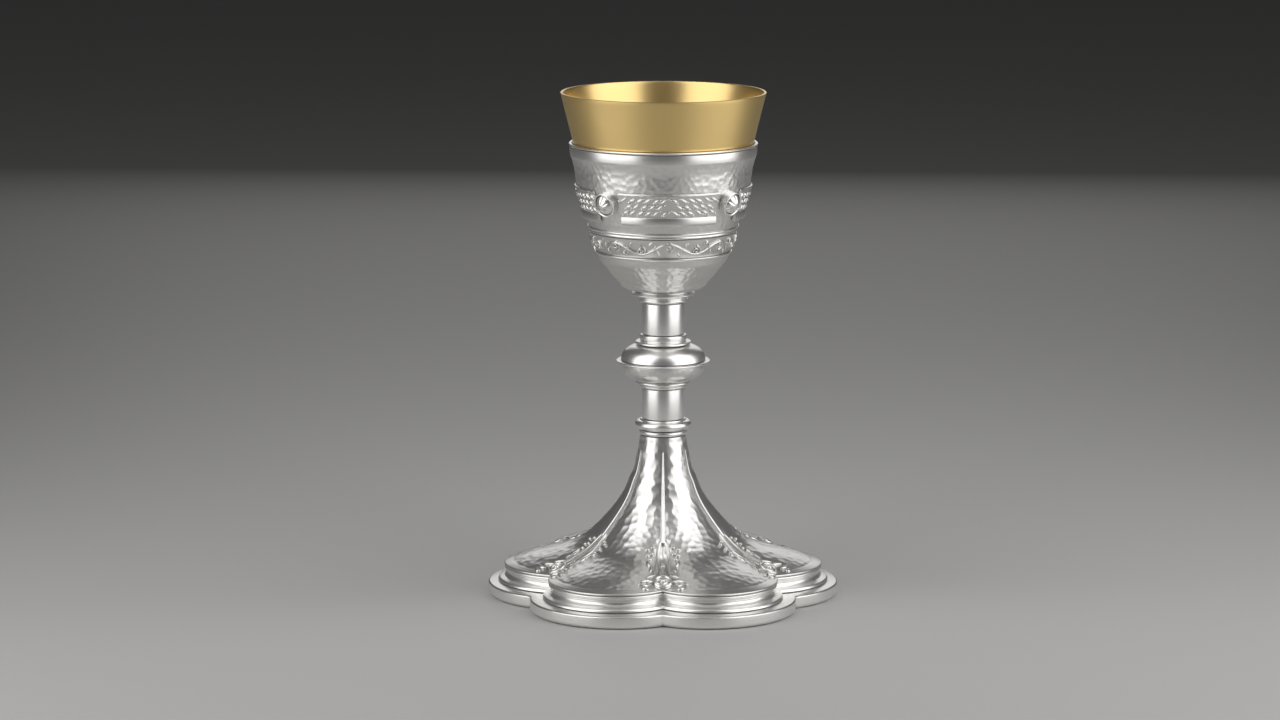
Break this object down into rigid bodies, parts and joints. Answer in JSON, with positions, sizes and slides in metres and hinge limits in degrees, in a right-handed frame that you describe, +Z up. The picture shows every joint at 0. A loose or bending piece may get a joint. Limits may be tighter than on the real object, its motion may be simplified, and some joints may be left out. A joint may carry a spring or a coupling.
{
  "type": "chalice",
  "caption": "Stemmed altar cup: gilt bowl in a hammered silver calyx, turned stem with a knop, six-lobed ribbed foot, held together by a tie rod and nut.",
  "frame": {"origin": "middle of the foot's flat underside, on the surface it stands on", "axes": "+Z up along the stem's axis; -Y through a cusp of the foot, which is the front; +X to the right seen from the front"},
  "size_m": [0.1466, 0.137, 0.21],
  "materials": {
    "gilt": "polished gilding",
    "hammered_silver": "silver-plated, hand-hammered, bright",
    "polished_silver": "silver-plated, mirror polished",
    "chased_silver": "silver-plated relief, darker in the recesses",
    "steel": "turned and threaded",
    "brass": "turned, unplated"
  },
  "bodies": {
    "stand": {"cusp_leaf_1": "chased_silver", "cusp_leaf_2": "chased_silver", "cusp_leaf_3": "chased_silver", "cusp_leaf_4": "chased_silver", "cusp_leaf_5": "chased_silver", "cusp_leaf_6": "chased_silver", "cusp_rosette_1": "polished_silver", "cusp_rosette_2": "polished_silver", "cusp_rosette_3": "polished_silver", "cusp_rosette_4": "polished_silver", "cusp_rosette_5": "polished_silver", "cusp_rosette_6": "polished_silver", "foot_flange": "polished_silver", "foot_rib_1": "polished_silver", "foot_rib_2": "polished_silver", "foot_rib_3": "polished_silver", "foot_rib_4": "polished_silver", "foot_rib_5": "polished_silver", "foot_rib_6": "polished_silver", "foot_seat_disc": "brass", "foot_shell": "hammered_silver", "foot_step_moulding": "polished_silver", "knop_fillet": "polished_silver", "knop_lower_ring": "polished_silver", "knop_lower_shell": "hammered_silver", "knop_upper_collar": "polished_silver", "knop_upper_shell": "polished_silver", "lower_collar_ring": "polished_silver", "lower_collar_torus": "polished_silver", "lower_stem_tube": "polished_silver", "upper_collar": "polished_silver", "upper_stem_tube": "polished_silver"},
    "cup": {"boss_1": "polished_silver", "boss_2": "polished_silver", "boss_3": "polished_silver", "boss_4": "polished_silver", "boss_bezel_1": "polished_silver", "boss_bezel_2": "polished_silver", "boss_bezel_3": "polished_silver", "boss_bezel_4": "polished_silver", "calyx": "hammered_silver", "calyx_base_disc": "brass", "calyx_lower_wire": "polished_silver", "calyx_mid_wire": "polished_silver", "calyx_ornament_band": "chased_silver", "calyx_rim_wire": "polished_silver", "cup_bowl": "gilt", "relief_panel_1": "chased_silver", "relief_panel_2": "chased_silver", "relief_panel_3": "chased_silver", "relief_panel_4": "chased_silver", "tie_rod": "steel"},
    "washer": {"tie_washer": "steel"},
    "nut": {"tie_nut": "brass"}
  },
  "joints": [
    {"name": "nut_travel", "type": "slide", "parent": "stand", "child": "washer", "axis": [0, 0, -1], "range_m": [0, 0.01]},
    {"name": "nut_turn", "type": "hinge", "parent": "washer", "child": "nut", "pos_m": [0, 0, 0.0345], "axis": [0, 0, -1], "range_deg": [0, 2880]},
    {"name": "cup_lift", "type": "slide", "parent": "stand", "child": "cup", "axis": [0, 0, 1], "range_m": [0, 0.11]}
  ],
  "couplings": [
    {"joint": "nut_travel", "follows": "nut_turn", "m_per_rad": 0.00019894}
  ]
}
